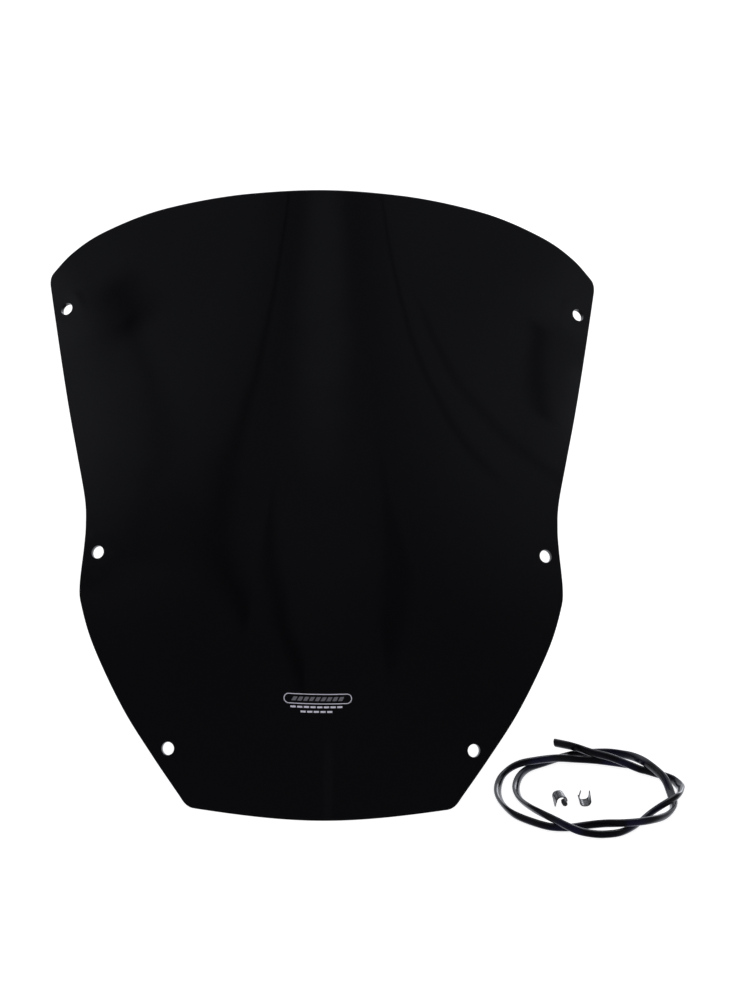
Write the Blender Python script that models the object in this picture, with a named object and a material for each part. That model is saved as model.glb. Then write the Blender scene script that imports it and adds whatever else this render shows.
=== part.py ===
"""Motorcycle windshield screen, with its slit edge trim and the two steel trim clips.

Metres, +Z up.  The origin is the middle of the screen's lower edge, on the surface that the
screen, the coil of trim and the clips stand on.  The screen's outer face looks along -Y and it
leans back towards +Y; +X is on the right of somebody who looks at the outer face.
"""

import math

import bmesh
import bpy
import numpy as np
from mathutils import Matrix
from mathutils.geometry import delaunay_2d_cdt

# ---- Screen: one formed sheet ----------------------------------------------------------------
SHEET = 0.003  # thickness
LEVEL_CUT_REACH = 0.006  # height over which the faces are drawn along the sheet to a level lower edge
HEIGHT = 0.3384  # top of the upper edge above the lower edge
NOSE = 0.060  # half breadth of the rounded nose of each level section
# Slope of the centre line (back per up), and the slope that the sides of the level sections run
# out to.  Both are given at the lower edge, at half height and at the top.
LEAN = (0.469, 0.569, 0.529)
BOW = (0.386, 0.545, 1.157)

# Half outline as (x, z): the end of the straight lower edge, the side up to the upper corner,
# and the upper edge up to the middle.
SIDE_EDGE = (
    (0.0810, 0.0000),
    (0.1015, 0.0235),
    (0.1214, 0.0480),
    (0.1398, 0.0776),
    (0.1478, 0.0972),
    (0.1494, 0.1080),
    (0.1471, 0.1290),
    (0.1464, 0.1400),
    (0.1474, 0.1530),
    (0.1532, 0.1750),
    (0.1607, 0.2020),
    (0.1752, 0.2590),
)
UPPER_EDGE = (
    (0.1752, 0.2590),
    (0.1600, 0.2749),
    (0.1380, 0.2909),
    (0.0985, 0.3119),
    (0.0465, 0.3311),
    (0.0000, 0.3384),
)
CORNER_CUT = 0.0045  # how far each rounded corner reaches along its two edges
CORNER_STEPS = 4
EDGE_STEP = 0.0075  # spacing of the points along the edges
GRID_STEP = 0.0105  # spacing of the points inside the sheet
EDGE_CLEARANCE = 0.55 * GRID_STEP  # between those points and the edges

# Screw holes, as (x, z) on the right half.  Round each one the sheet is flat, as a washer seat.
HOLES = {"upper": (0.1626, 0.2459), "middle": (0.1383, 0.1270), "lower": (0.0929, 0.0300)}
HOLE_RADIUS = 0.004
SEAT_RADIUS = 0.008
SEAT_FADE = 0.006  # the flat seat runs out into the curved sheet over this distance
HOLE_SIDES = 24
RING_CLEARANCE = 0.003  # between the ring where a seat's fade ends and the sheet's edge

# ---- Edge trim: a flat slit tube, lying as a loose coil of two turns --------------------------
TRIM_DEPTH = 0.0057  # of its oval section, from the slit to the back
TRIM_BREADTH = 0.0032
TRIM_STEP = 0.007  # spacing of the sections
TRIM_SIDES = 14
# The section's stand in degrees: 0 lies flat and 90 stands on its edge. It follows the heading.
TRIM_STAND = 90
TRIM_STAND_ALONG = -15  # added where the tube runs along +X, taken off where it runs along -X
TRIM_STAND_ACROSS = 50  # added where it runs along Y
TRIM_STAND_POWER = 8  # the higher it is, the nearer to Y the tube has to run for that
# The tube's way in plan and the room under it, in millimetres. The room is about 6 where the tube
# lies over another run of itself.
TRIM_ROUTE = (
    (149.0, 91.0, 3.0),
    (160.0, 79.5, 6.2),
    (171.0, 72.5, 5.8),
    (181.0, 67.0, 5.8),
    (190.5, 63.5, 3.5),
    (200.5, 61.5, 0.0),
    (209.0, 56.5, 0.0),
    (216.0, 52.0, 0.0),
    (220.0, 46.5, 0.0),
    (222.0, 38.0, 1.5),
    (221.0, 29.5, 3.5),
    (217.5, 17.5, 5.6),
    (211.0, 11.0, 5.2),
    (203.0, 6.0, 2.5),
    (196.0, 0.5, 0.0),
    (189.0, -9.5, 0.0),
    (179.0, -18.0, 0.0),
    (168.0, -20.5, 0.0),
    (156.5, -20.5, 1.5),
    (148.0, -19.5, 4.5),
    (141.0, -14.5, 5.8),
    (134.0, -7.0, 5.8),
    (127.5, 3.5, 4.5),
    (122.5, 17.0, 2.3),
    (120.5, 30.5, 0.5),
    (121.0, 42.0, 0.0),
    (124.5, 53.5, 0.0),
    (131.0, 63.0, 0.0),
    (141.0, 70.0, 0.0),
    (151.5, 77.0, 0.0),
    (161.5, 82.0, 0.0),
    (172.0, 84.0, 0.0),
    (182.0, 83.5, 0.5),
    (190.5, 78.0, 2.0),
    (197.0, 70.0, 4.2),
    (203.0, 59.5, 6.0),
    (208.5, 49.5, 5.8),
    (212.5, 40.5, 4.8),
    (215.0, 31.5, 1.5),
    (215.8, 20.0, 0.0),
    (213.5, 10.0, 0.0),
    (208.0, 0.5, 1.0),
    (199.0, -9.5, 4.0),
    (189.5, -15.5, 5.8),
    (179.0, -17.0, 5.8),
    (169.5, -13.5, 3.5),
    (159.0, -10.5, 0.5),
    (148.0, -12.5, 0.0),
    (137.5, -11.5, 0.0),
    (127.0, -5.5, 0.0),
    (117.0, 3.5, 0.0),
    (111.5, 15.0, 0.0),
    (109.0, 27.5, 0.0),
    (109.5, 39.5, 0.0),
    (112.5, 49.5, 1.0),
    (118.0, 55.5, 3.5),
    (125.0, 58.5, 5.6),
    (133.5, 61.5, 5.9),
    (142.0, 64.5, 5.6),
    (151.0, 69.5, 3.5),
    (161.0, 73.5, 0.8),
    (171.0, 73.8, 0.0),
    (182.0, 71.3, 0.0),
    (193.0, 68.0, 0.0),
)

# ---- Trim clips: a steel strip bent to a U, with one leaf-shaped leg and one plain one --------
CLIP_SHEET = 0.0005
CLIP_WIDTH = 0.0072  # over the two legs
CLIP_HEIGHT = 0.0087
CLIP_LENGTH = 0.0088  # along the tube that it grips
CLIP_TOE_IN = 0.0006  # how far each leg's tip leans in
CLIP_SQUARENESS = 2.4  # of the bend; 2 would be a half circle
CLIP_BEND_STEPS = 12
# The legs, from the bend to the tip: part of the leg's length, half breadth, twist in degrees.
CLIP_LEAF_LEG = (
    (0.00, 0.0044, 0),
    (0.08, 0.0020, 4),
    (0.16, 0.0014, 10),
    (0.30, 0.0022, 17),
    (0.50, 0.0030, 20),
    (0.74, 0.0026, 20),
    (0.90, 0.0018, 20),
    (1.00, 0.0006, 20),
)
CLIP_PLAIN_LEG = (
    (0.00, 0.0044, 0),
    (0.12, 0.0036, 0),
    (0.35, 0.0028, 0),
    (0.65, 0.0018, 0),
    (1.00, 0.0005, 0),
)
# Name: place on the ground, turn about the vertical in degrees, standing on its legs or not.
CLIPS = {
    "trim_clip_left": ((0.1458, 0.0190), 13.0, True),
    "trim_clip_right": ((0.1614, 0.0230), 4.0, False),
}

SHARP_ANGLE = math.radians(35)  # faces that meet at more than this are shaded with a sharp edge
CURVE_STEP = 0.05  # part of a span between two of the points that trace a smooth curve


# ---- Curves ----------------------------------------------------------------------------------
def smooth_curve(points, step, before=None, after=None):
    """Points at even distances along a smooth curve through the given ones."""
    points = [np.array(point, float) for point in points]
    first = 2 * points[0] - points[1] if before is None else np.array(before, float)
    last = 2 * points[-1] - points[-2] if after is None else np.array(after, float)
    chain = [first] + points + [last]
    fine = []
    for a, b, c, d in zip(chain, chain[1:], chain[2:], chain[3:]):
        for t in np.arange(0, 1, CURVE_STEP):
            cubic = (3 * b - a - 3 * c + d) * t**3
            fine.append((2 * b + (c - a) * t + (2 * a - 5 * b + 4 * c - d) * t**2 + cubic) / 2)
    fine.append(points[-1])
    return even_spacing(np.array(fine), step)


def even_spacing(line, step):
    """The line again, with points at even distances as near to the step as fits."""
    lengths = np.linalg.norm(np.diff(line, axis=0), axis=1)
    along = np.concatenate([[0.0], np.cumsum(lengths)])
    count = max(1, round(along[-1] / step))
    places = np.linspace(0.0, along[-1], count + 1)
    return np.stack([np.interp(places, along, column) for column in line.T], axis=1)


def cut_end(line, cut):
    """The line without the last stretch of the given length."""
    lengths = np.linalg.norm(np.diff(line, axis=0), axis=1)
    along = np.concatenate([[0.0], np.cumsum(lengths)])
    keep = along < along[-1] - cut
    end = [np.interp(along[-1] - cut, along, column) for column in line.T]
    return np.vstack([line[keep], end])


def rounded_corner(line_in, line_out):
    """The two lines joined into one, with the corner between them rounded."""
    corner = line_in[-1]
    line_in = cut_end(line_in, CORNER_CUT)
    line_out = cut_end(line_out[::-1], CORNER_CUT)[::-1]
    steps = np.arange(1, CORNER_STEPS)[:, None] / CORNER_STEPS
    start, end = line_in[-1], line_out[0]
    bend = (1 - steps) ** 2 * start + 2 * steps * (1 - steps) * corner + steps**2 * end
    return np.vstack([line_in, bend, line_out])


def screen_outline():
    """The closed outline in (x, z), anticlockwise, starting in the middle of the lower edge."""
    lower = even_spacing(np.array([(0.0, 0.0), SIDE_EDGE[0]]), EDGE_STEP)
    side = smooth_curve(SIDE_EDGE, EDGE_STEP)
    mirrored = (-UPPER_EDGE[-2][0], UPPER_EDGE[-2][1])
    upper = smooth_curve(UPPER_EDGE, EDGE_STEP, after=mirrored)
    half = rounded_corner(rounded_corner(lower, side), upper)
    other = half[-2:0:-1] * (-1, 1)
    return np.vstack([half, other])


# ---- The sheet's middle surface, y as a function of (x, z) -----------------------------------
def polynomial(at_foot, at_half, at_top):
    """Coefficients of the parabola in z / HEIGHT through three values."""
    return (at_foot, 4 * at_half - 3 * at_foot - at_top, 2 * (at_foot - 2 * at_half + at_top))


def plain_y(x, z):
    t = z / HEIGHT
    a, b, c = polynomial(*LEAN)
    centre_line = HEIGHT * (a * t + b * t**2 / 2 + c * t**3 / 3)
    a, b, c = polynomial(*BOW)
    return centre_line + (a + b * t + c * t**2) * (math.hypot(NOSE, x) - NOSE)


def slopes(height_of, x, z, step=1e-5):
    across = (height_of(x + step, z) - height_of(x - step, z)) / (2 * step)
    up = (height_of(x, z + step) - height_of(x, z - step)) / (2 * step)
    return across, up


def hole_centres():
    """Name, x, z, y and the two slopes of each of the six holes."""
    centres = []
    for name, (x, z) in HOLES.items():
        for side, sign in (("left", -1), ("right", 1)):
            across, up = slopes(plain_y, sign * x, z)
            centres.append((f"{name}_{side}", sign * x, z, plain_y(x, z), across, up))
    return centres


def formed_y(x, z, centres):
    """The surface with its flat washer seats."""
    y = plain_y(x, z)
    for _, hole_x, hole_z, hole_y, across, up in centres:
        dx, dz = x - hole_x, z - hole_z
        lift = across * dx + up * dz
        away = math.sqrt(dx * dx + dz * dz + lift * lift)
        t = min(max((away - SEAT_RADIUS) / SEAT_FADE, 0.0), 1.0)
        flat = 1 - t * t * (3 - 2 * t)
        y += flat * (hole_y + lift - y)
    return y


def skin_point(x, z, side, centres):
    """A point on the outer (side +1) or inner (side -1) face, over (x, z) of the middle surface.

    Near the lower edge the faces are drawn along the sheet so that the edge is cut level.
    """
    level_cut = max(0.0, 1 - z / LEVEL_CUT_REACH) * side * SHEET / 2
    shifted = z
    for _ in range(3):
        across, up = slopes(lambda u, v: formed_y(u, v, centres), x, shifted)
        length = math.sqrt(across**2 + up**2 + 1)
        shifted = z - level_cut * up / length
    reach = side * SHEET / 2 / length
    point = (x + reach * across, formed_y(x, shifted, centres) - reach, shifted + reach * up)
    return (point[0], point[1], 0.0) if z == 0 else point


def ring_round(hole, radius):
    """A circle in the seat's plane, as (x, z) of the middle surface."""
    _, x, z, _, across, up = hole
    first = np.array((1.0, across, 0.0)) / math.hypot(1, across)
    normal = np.array((-across, 1.0, -up))
    second = np.cross(first, normal / np.linalg.norm(normal))
    ring = []
    for turn in np.arange(HOLE_SIDES) * math.tau / HOLE_SIDES:
        arm = radius * (math.cos(turn) * first + math.sin(turn) * second)
        ring.append((x + arm[0], z + arm[2]))
    return ring


# ---- Blender helpers -------------------------------------------------------------------------
def clear_scene():
    for obj in list(bpy.data.objects):
        bpy.data.objects.remove(obj, do_unlink=True)


def material(name, colour, roughness, metallic):
    made = bpy.data.materials.new(name)
    made.use_nodes = True
    shader = made.node_tree.nodes["Principled BSDF"]
    shader.inputs["Base Color"].default_value = (*colour, 1.0)
    shader.inputs["Roughness"].default_value = roughness
    shader.inputs["Metallic"].default_value = metallic
    made.diffuse_color = (*colour, 1.0)
    return made


def mesh_object(name, points, faces, finish):
    mesh = bpy.data.meshes.new(name)
    mesh.from_pydata([tuple(point) for point in points], [], faces)
    mesh.materials.append(finish)
    work = bmesh.new()
    work.from_mesh(mesh)
    bmesh.ops.recalc_face_normals(work, faces=work.faces)
    work.to_mesh(mesh)
    work.free()
    mesh.shade_smooth()
    mesh.set_sharp_from_angle(angle=SHARP_ANGLE)
    obj = bpy.data.objects.new(name, mesh)
    bpy.context.scene.collection.objects.link(obj)
    return obj


# ---- Pieces ----------------------------------------------------------------------------------
def inside(polygon, x, z):
    """Whether (x, z) lies inside the polygon, by counting the edges to its right."""
    a, b = polygon, np.roll(polygon, -1, axis=0)
    spans = (a[:, 1] > z) != (b[:, 1] > z)
    a, b = a[spans], b[spans]
    crossings = a[:, 0] + (z - a[:, 1]) * (b[:, 0] - a[:, 0]) / (b[:, 1] - a[:, 1])
    return np.count_nonzero(crossings > x) % 2 == 1


def clear_of_edge(outline, x, z, clearance):
    return inside(outline, x, z) and np.min(np.hypot(*(outline - (x, z)).T)) > clearance


def seat_points(outline, centres):
    """Where each seat's fade runs out into the plain sheet."""
    return [
        place
        for hole in centres
        for place in ring_round(hole, SEAT_RADIUS + SEAT_FADE)[::2]
        if clear_of_edge(outline, *place, RING_CLEARANCE)
    ]


def grid_points(outline, centres):
    """A staggered grid inside the outline, clear of its edge and of the seats."""
    points = []
    row_step = GRID_STEP * math.sqrt(3) / 2
    columns = int(outline[:, 0].max() / GRID_STEP) + 1
    for row in range(1, int(HEIGHT / row_step) + 1):
        z = row * row_step
        for column in range(-columns, columns + 1):
            x = (column + 0.5 * (row % 2)) * GRID_STEP
            clear_of_seats = all(
                math.hypot(x - hole[1], z - hole[2]) > SEAT_RADIUS + SEAT_FADE for hole in centres
            )
            if clear_of_seats and clear_of_edge(outline, x, z, EDGE_CLEARANCE):
                points.append((x, z))
    return points


def open_edges(triangles):
    """The edges that only one triangle has, in that triangle's direction."""
    edges = {edge for a, b, c in triangles for edge in ((a, b), (b, c), (c, a))}
    return sorted(edge for edge in edges if edge[::-1] not in edges)


def make_screen(finish):
    """The sheet: triangles over the outline, set off to both faces and closed round all edges."""
    outline = screen_outline()
    centres = hole_centres()
    rims = [ring_round(hole, HOLE_RADIUS) for hole in centres]
    seats = [ring_round(hole, SEAT_RADIUS) for hole in centres]
    flat, borders = [], []
    for loop in ([tuple(point) for point in outline], *rims, *seats):
        start = len(flat)
        flat += loop
        borders += [(start + i, start + (i + 1) % len(loop)) for i in range(len(loop))]
    flat += seat_points(outline, centres) + grid_points(outline, centres)
    places, _, triangles, *_ = delaunay_2d_cdt(flat, borders, [], 0, 1e-7)
    rims = [np.array(rim) for rim in rims]
    kept = []
    for triangle in triangles:
        x, z = np.mean([places[i] for i in triangle], axis=0)
        if inside(outline, x, z) and not any(inside(rim, x, z) for rim in rims):
            kept.append(tuple(triangle))
    points = [skin_point(x, max(z, 0.0), side, centres) for side in (1, -1) for x, z in places]
    count = len(places)
    faces = kept + [tuple(i + count for i in reversed(triangle)) for triangle in kept]
    faces += [(b, a, a + count, b + count) for a, b in open_edges(kept)]
    return mesh_object("screen_panel", points, faces, finish)


def unit(vectors):
    return vectors / np.linalg.norm(vectors, axis=1, keepdims=True)


def swept_rings(name, rings, finish):
    """A closed solid through rings of points, with a flat face over the first and the last."""
    points = [point for ring in rings for point in ring]
    count = len(rings[0])
    faces = [
        (start + i, start + (i + 1) % count, start + count + (i + 1) % count, start + count + i)
        for start in range(0, len(points) - count, count)
        for i in range(count)
    ]
    faces += [tuple(range(count)), tuple(range(len(points) - 1, len(points) - 1 - count, -1))]
    return mesh_object(name, points, faces, finish)


def make_trim(finish):
    """The coil as an oval tube; it never goes below the ground."""
    line = smooth_curve(np.array(TRIM_ROUTE) / 1000, TRIM_STEP)
    heading = unit(np.gradient(line[:, :2], axis=0))
    stand = TRIM_STAND + TRIM_STAND_ALONG * heading[:, 0]
    stand = np.radians(stand + TRIM_STAND_ACROSS * heading[:, 1] ** TRIM_STAND_POWER)
    half_depth, half_breadth = TRIM_DEPTH / 2, TRIM_BREADTH / 2
    rise = np.hypot(half_depth * np.sin(stand), half_breadth * np.cos(stand))
    centre = np.column_stack([line[:, :2], np.maximum(line[:, 2], 0.0) + rise])
    ahead = unit(np.gradient(centre, axis=0))
    side = unit(np.cross(ahead, (0.0, 0.0, 1.0)))
    upward = np.cross(side, ahead)
    cos, sin = np.cos(stand)[:, None], np.sin(stand)[:, None]
    depth_way = cos * side + sin * upward
    breadth_way = cos * upward - sin * side
    turns = np.arange(TRIM_SIDES) * math.tau / TRIM_SIDES
    rings = [
        [at + half_depth * math.cos(t) * deep + half_breadth * math.sin(t) * broad for t in turns]
        for at, deep, broad in zip(centre, depth_way, breadth_way)
    ]
    return swept_rings("edge_trim", rings, finish)


def clip_strip():
    """The strip from tip to tip: its outer side's middle (x, z), half breadth and twist."""
    radius = CLIP_WIDTH / 2
    leg = CLIP_HEIGHT - radius
    strip = [
        (radius - part * CLIP_TOE_IN, leg - part * leg, half, twist)
        for part, half, twist in reversed(CLIP_LEAF_LEG)
    ]
    for step in range(1, CLIP_BEND_STEPS):
        turn = math.pi * step / CLIP_BEND_STEPS
        across, up = (abs(f(turn)) ** (2 / CLIP_SQUARENESS) for f in (math.cos, math.sin))
        x = math.copysign(radius * across, math.cos(turn))
        strip.append((x, leg + radius * up, CLIP_LENGTH / 2, 0))
    strip += [
        (part * CLIP_TOE_IN - radius, leg - part * leg, half, twist)
        for part, half, twist in CLIP_PLAIN_LEG
    ]
    return strip


def make_clip(name, finish):
    """The strip's four-sided section run along its way, then set down on the ground."""
    (place_x, place_y), turn, on_its_legs = CLIPS[name]
    strip = np.array(clip_strip())
    ahead = unit(np.gradient(strip[:, :2], axis=0))
    rings = []
    for (x, z, half, twist), (ahead_x, ahead_z) in zip(strip, ahead):
        cos, sin = math.cos(math.radians(twist)), math.sin(math.radians(twist))
        middle = np.array((x, 0.0, z))
        out = np.array((cos * ahead_z, sin, -cos * ahead_x))
        across = np.array((-sin * ahead_z, cos, sin * ahead_x))
        inner = middle - CLIP_SHEET * out
        rings.append([middle - half * across, middle + half * across])
        rings[-1] += [inner + half * across, inner - half * across]
    clip = swept_rings(name, rings, finish)
    if not on_its_legs:
        clip.data.transform(Matrix.Rotation(math.pi, 4, "Y"))
    lowest = min(vertex.co.z for vertex in clip.data.vertices)
    clip.data.transform(Matrix.Translation((0, 0, -lowest)))
    clip.location = (place_x, place_y, 0.0)
    clip.rotation_euler = (0, 0, math.radians(turn))
    return clip


def main():
    clear_scene()
    make_screen(material("black_acrylic", (0.008, 0.008, 0.010), 0.06, 0.0))
    make_trim(material("black_trim_vinyl", (0.010, 0.010, 0.014), 0.28, 0.0))
    steel = material("spring_steel", (0.30, 0.30, 0.31), 0.38, 1.0)
    for name in CLIPS:
        make_clip(name, steel)


main()
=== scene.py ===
"""Looks of the motorcycle windshield screen: the polished black sheet with its small print, the coil
of slit edge trim and the two spring steel clips, on a pale studio floor.

Metres, +Z up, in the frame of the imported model: the origin is the middle of the screen's lower
edge, the outer face looks along -Y and leans back towards +Y, and +X is on the right.
"""

import math

import bpy
import numpy as np
from mathutils import Matrix, Vector
from mathutils.geometry import delaunay_2d_cdt


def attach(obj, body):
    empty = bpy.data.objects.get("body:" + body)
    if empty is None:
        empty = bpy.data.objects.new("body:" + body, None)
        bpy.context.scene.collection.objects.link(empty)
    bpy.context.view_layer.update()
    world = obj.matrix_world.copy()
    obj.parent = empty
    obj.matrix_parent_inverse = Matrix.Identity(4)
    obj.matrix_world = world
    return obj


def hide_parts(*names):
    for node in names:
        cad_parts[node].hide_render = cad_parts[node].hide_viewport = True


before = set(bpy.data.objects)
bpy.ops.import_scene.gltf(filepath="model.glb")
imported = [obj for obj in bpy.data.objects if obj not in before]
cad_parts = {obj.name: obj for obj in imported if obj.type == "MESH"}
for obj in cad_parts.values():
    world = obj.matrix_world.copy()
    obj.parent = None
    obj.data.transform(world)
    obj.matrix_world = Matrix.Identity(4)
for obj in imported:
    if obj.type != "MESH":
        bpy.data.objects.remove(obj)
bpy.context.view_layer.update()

# ---- Camera ----------------------------------------------------------------------------------
AIM = Vector((0.0310, 0.0830, 0.1747))
CAMERA_DISTANCE = 1.8
CAMERA_AZIMUTH = math.radians(-2.10)
CAMERA_ELEVATION = math.radians(23.0)
CAMERA_ROLL = math.radians(1.39)
SENSOR = 36.0  # millimetres, for the picture's longer side
LENS = 106.9  # millimetres

# ---- Edge trim: a flat slit tube, lying as a loose coil of two turns --------------------------
TRIM_DEPTH = 0.0057  # of its oval section, from the slit to the back
TRIM_BREADTH = 0.0032
TRIM_STATION = 0.0016  # spacing of the tube's sections
TRIM_WALL = 0.0007
TRIM_SLIT = math.radians(12)  # half opening of the slit, round the section
TRIM_SIDES = 30
TRIM_LIP_PARTS = (0.25, 0.5, 0.75)  # places round each rounded lip of the slit
TRIM_SHARP = math.radians(40)  # faces that meet at more than this keep a sharp edge
UV_SCALE = 100  # texture units to the metre
# The section's stand in degrees: 0 lies flat and 90 stands on its edge. It follows the heading.
TRIM_STAND = 90
TRIM_STAND_ALONG = -15  # added where the tube runs along +X, taken off where it runs along -X
TRIM_STAND_ACROSS = 50  # added where it runs along Y
TRIM_STAND_POWER = 8  # the higher it is, the nearer to Y the tube has to run for that
# The tube's way in plan and the room under it, in millimetres. The room is about 6 where the tube
# lies over another run of itself.
TRIM_ROUTE = (
    (149.0, 91.0, 3.0),
    (160.0, 79.5, 6.2),
    (171.0, 72.5, 5.8),
    (181.0, 67.0, 5.8),
    (190.5, 63.5, 3.5),
    (200.5, 61.5, 0.0),
    (209.0, 56.5, 0.0),
    (216.0, 52.0, 0.0),
    (220.0, 46.5, 0.0),
    (222.0, 38.0, 1.5),
    (221.0, 29.5, 3.5),
    (217.5, 17.5, 5.6),
    (211.0, 11.0, 5.2),
    (203.0, 6.0, 2.5),
    (196.0, 0.5, 0.0),
    (189.0, -9.5, 0.0),
    (179.0, -18.0, 0.0),
    (168.0, -20.5, 0.0),
    (156.5, -20.5, 1.5),
    (148.0, -19.5, 4.5),
    (141.0, -14.5, 5.8),
    (134.0, -7.0, 5.8),
    (127.5, 3.5, 4.5),
    (122.5, 17.0, 2.3),
    (120.5, 30.5, 0.5),
    (121.0, 42.0, 0.0),
    (124.5, 53.5, 0.0),
    (131.0, 63.0, 0.0),
    (141.0, 70.0, 0.0),
    (151.5, 77.0, 0.0),
    (161.5, 82.0, 0.0),
    (172.0, 84.0, 0.0),
    (182.0, 83.5, 0.5),
    (190.5, 78.0, 2.0),
    (197.0, 70.0, 4.2),
    (203.0, 59.5, 6.0),
    (208.5, 49.5, 5.8),
    (212.5, 40.5, 4.8),
    (215.0, 31.5, 1.5),
    (215.8, 20.0, 0.0),
    (213.5, 10.0, 0.0),
    (208.0, 0.5, 1.0),
    (199.0, -9.5, 4.0),
    (189.5, -15.5, 5.8),
    (179.0, -17.0, 5.8),
    (169.5, -13.5, 3.5),
    (159.0, -10.5, 0.5),
    (148.0, -12.5, 0.0),
    (137.5, -11.5, 0.0),
    (127.0, -5.5, 0.0),
    (117.0, 3.5, 0.0),
    (111.5, 15.0, 0.0),
    (109.0, 27.5, 0.0),
    (109.5, 39.5, 0.0),
    (112.5, 49.5, 1.0),
    (118.0, 55.5, 3.5),
    (125.0, 58.5, 5.6),
    (133.5, 61.5, 5.9),
    (142.0, 64.5, 5.6),
    (151.0, 69.5, 3.5),
    (161.0, 73.5, 0.8),
    (171.0, 73.8, 0.0),
    (182.0, 71.3, 0.0),
    (193.0, 68.0, 0.0),
)

# ---- Screen: one formed sheet ----------------------------------------------------------------
SHEET = 0.003
LEVEL_CUT_REACH = 0.006  # height over which the faces are drawn along the sheet to a level lower edge
HEIGHT = 0.3384
NOSE = 0.060  # half breadth of the rounded nose of each level section
# Slope of the centre line (back per up), and the slope that the sides of the level sections run
# out to.  Both are given at the lower edge, at half height and at the top.
LEAN = (0.469, 0.569, 0.529)
BOW = (0.386, 0.545, 1.157)
# Half outline as (x, z): the end of the straight lower edge, the side up to the upper corner,
# and the upper edge up to the middle.
SIDE_EDGE = (
    (0.0810, 0.0000),
    (0.1015, 0.0235),
    (0.1214, 0.0480),
    (0.1398, 0.0776),
    (0.1478, 0.0972),
    (0.1494, 0.1080),
    (0.1471, 0.1290),
    (0.1464, 0.1400),
    (0.1474, 0.1530),
    (0.1532, 0.1750),
    (0.1607, 0.2020),
    (0.1752, 0.2590),
)
UPPER_EDGE = (
    (0.1752, 0.2590),
    (0.1600, 0.2749),
    (0.1380, 0.2909),
    (0.0985, 0.3119),
    (0.0465, 0.3311),
    (0.0000, 0.3384),
)
CORNER_CUT = 0.0045  # how far each rounded corner reaches along its two edges
CORNER_STEPS = 8
EDGE_STEP = 0.0025  # spacing of the points along the edges
GRID_STEP = 0.0032  # spacing of the points inside the sheet
EDGE_ROUND = 0.0007  # the polished rounding of the sheet's edges
HOLE_ROUND = 0.00012
ROUND_STEPS = 4
# Screw holes, as (x, z) on the right half.  Round each one the sheet is flat, as a washer seat.
HOLES = ((0.1626, 0.2459), (0.1383, 0.1270), (0.0929, 0.0300))
HOLE_RADIUS = 0.004
SEAT_RADIUS = 0.008
SEAT_FADE = 0.006  # the flat seat runs out into the curved sheet over this distance
HOLE_SIDES = 48
SEAT_SIDES = 24
EDGE_CLEARANCE = 0.55 * GRID_STEP  # between the points inside the sheet and its edge
SEAT_CLEARANCE = 0.4 * GRID_STEP  # between those points and the seats
MERGE_REACH = 1e-7  # points nearer than this count as one
SKIN_ROUNDS = 4  # repeats that settle where the level cut meets the faces

# ---- Print on the outer face -----------------------------------------------------------------
MARK_CENTRE = (-0.0025, 0.0650)  # (x, z)
INK = 0.00004  # thickness that stands proud of the sheet
INK_ROOT = 0.00008  # depth that the print's solids reach into the sheet
MARK_SIZE = (0.0205, 0.0031)  # half length and half height of the ring
MARK_LINE = 0.00048
BAR_COUNT = 9
BAR_PITCH = 0.0035
BAR_WIDTH = 0.0025
BAR_HEIGHT = 0.0024
BAR_SLANT = 0.55
# Rows of plain dashes: middle of the row under the mark's centre as (across, up), number of dashes.
DASH_ROWS = (((-0.0008, -0.0049), 8), ((-0.0008, -0.0077), 5))
DASH_PITCH = 0.0040
DASH_LENGTH = 0.0031
DASH_HEIGHT = 0.0011
PRINT_STEP = 0.0008
PILL_END_POINTS = 17
PRINT_SHARP = math.radians(40)

# ---- Trim clips: a steel strip bent to a U, with one leaf-shaped leg and one plain one --------
CLIP_SHEET = 0.0005
CLIP_WIDTH = 0.0072  # over the two legs
CLIP_HEIGHT = 0.0087
CLIP_LENGTH = 0.0088  # along the tube that it grips
CLIP_TOE_IN = 0.0006  # how far each leg's tip leans in
CLIP_SQUARENESS = 2.4  # of the bend; 2 would be a half circle
# The legs, from the bend to the tip: part of the leg's length, half breadth, twist in degrees.
CLIP_LEAF_LEG = (
    (0.00, 0.0044, 0),
    (0.08, 0.0020, 4),
    (0.16, 0.0014, 10),
    (0.30, 0.0022, 17),
    (0.50, 0.0030, 20),
    (0.74, 0.0026, 20),
    (0.90, 0.0018, 20),
    (1.00, 0.0006, 20),
)
CLIP_PLAIN_LEG = (
    (0.00, 0.0044, 0),
    (0.12, 0.0036, 0),
    (0.35, 0.0028, 0),
    (0.65, 0.0018, 0),
    (1.00, 0.0005, 0),
)
# Name: body, place on the ground, turn about the vertical in degrees, standing on its legs or not.
CLIPS = {
    "trim_clip_left": ("left_clip", (0.1458, 0.0190), 13.0, True),
    "trim_clip_right": ("right_clip", (0.1614, 0.0230), 4.0, False),
}
CLIP_STEP = 0.00018
CLIP_RIB_PITCH = 0.00085
CLIP_RIB = 0.00005
CLIP_EDGE_ROUND = 0.00012
CLIP_TIP = 0.10  # part of a leg over which its tip is rounded off
CLIP_TIP_LEFT = 0.35  # part of the breadth that is left at the very tip
CLIP_ARCH_POINTS = 721  # that trace the bend before its points are spaced evenly
CLIP_CORNER_POINTS = 4
CLIP_BREADTH_POINTS = 11
CLIP_SHARP = math.radians(50)

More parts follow.
